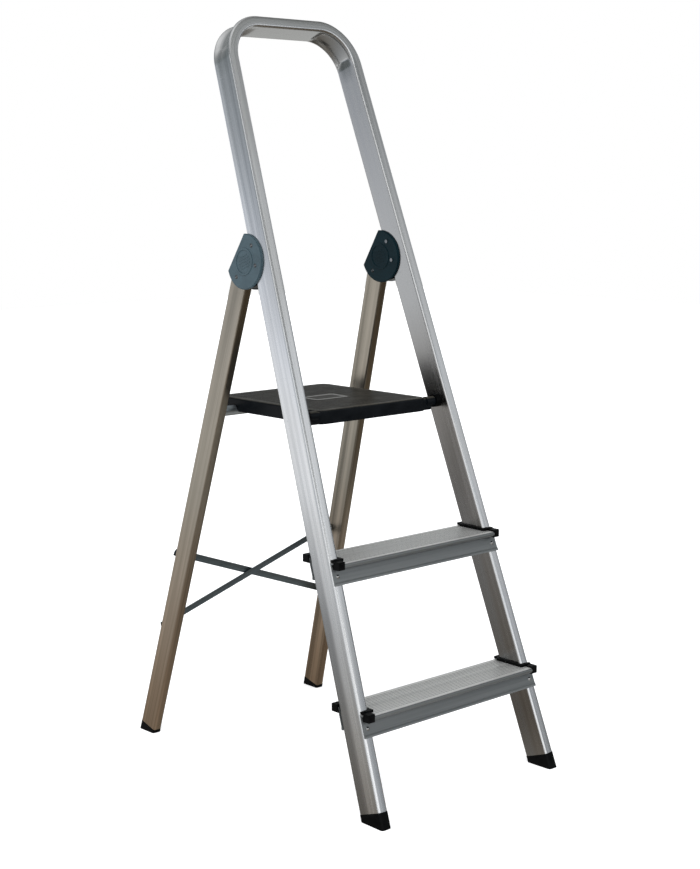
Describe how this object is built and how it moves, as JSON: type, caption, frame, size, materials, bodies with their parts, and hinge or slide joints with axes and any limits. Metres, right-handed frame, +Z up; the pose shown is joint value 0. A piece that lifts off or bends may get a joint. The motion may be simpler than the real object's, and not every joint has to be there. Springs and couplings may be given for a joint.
{
  "type": "folding platform stepladder",
  "caption": "Folding aluminium platform step stool with a hoop handrail, riveted treads, a moulded platform and D-shaped hinge cheeks.",
  "frame": {"origin": "centre of the footprint on the floor: bottom centre of the open ladder's bounding box", "axes": "+Z up from the floor to the hoop; +X across the ladder, to the right of a person facing it from the climbing side; -Y is the climbing side"},
  "size_m": [0.4234, 0.6624, 1.2949],
  "materials": {
    "front_tube": "mill finish with fine lengthwise lines",
    "rear_tube": "mill finish with fine lengthwise lines",
    "tread_metal": "satin, ribbed top",
    "rivet_metal": "satin",
    "pin_steel": "zinc plated",
    "brace_steel": "blue-grey zinc finish",
    "bar_metal": "pale grey-blue coating",
    "hinge_plastic": "fine grain",
    "black_plastic": "fine grain",
    "platform_plastic": "ribbed top, fine grain",
    "label": "blank"
  },
  "bodies": {
    "front_frame": {"front_foot_left": "black_plastic", "front_foot_right": "black_plastic", "front_hoop": "front_tube", "hinge_cheek_inner_left": "hinge_plastic", "hinge_cheek_inner_right": "hinge_plastic", "hinge_cheek_outer_left": "hinge_plastic", "hinge_cheek_outer_right": "hinge_plastic", "hinge_pin_left": "pin_steel", "hinge_pin_right": "pin_steel", "hinge_rivets_left": "rivet_metal", "hinge_rivets_right": "rivet_metal", "hinge_spacer_left": "black_plastic", "hinge_spacer_right": "black_plastic", "lower_tread": "tread_metal", "lower_tread_cap_left": "black_plastic", "lower_tread_cap_right": "black_plastic", "lower_tread_rivets": "rivet_metal", "middle_tread": "tread_metal", "middle_tread_cap_left": "black_plastic", "middle_tread_cap_right": "black_plastic", "middle_tread_rivets": "rivet_metal", "platform_bush_left": "black_plastic", "platform_bush_right": "black_plastic"},
    "rear_frame": {"brace_falling_left": "brace_steel", "brace_falling_right": "brace_steel", "brace_rivets": "rivet_metal", "brace_spacers": "brace_steel", "rear_crossbar": "bar_metal", "rear_foot_left": "black_plastic", "rear_foot_right": "black_plastic", "rear_leg_left": "rear_tube", "rear_leg_plug_left": "black_plastic", "rear_leg_plug_right": "black_plastic", "rear_leg_right": "rear_tube"},
    "platform": {"platform": "platform_plastic", "platform_ear_left": "platform_plastic", "platform_ear_right": "platform_plastic", "platform_label": "label", "platform_pin_left": "pin_steel", "platform_pin_right": "pin_steel", "platform_saddle_left": "platform_plastic", "platform_saddle_right": "platform_plastic"}
  },
  "joints": [
    {"name": "rear_frame_fold", "type": "hinge", "parent": "front_frame", "child": "rear_frame", "pos_m": [0, 0.07326, 0.85303], "axis": [-1, 0, 0], "range_deg": [0, 35.3]},
    {"name": "platform_tilt", "type": "hinge", "parent": "front_frame", "child": "platform", "pos_m": [0, -0.07886, 0.628], "axis": [1, 0, 0], "range_deg": [0, 70.2]}
  ],
  "couplings": [
    {"joint": "platform_tilt", "follows": "rear_frame_fold", "ratio": 1.9886}
  ]
}
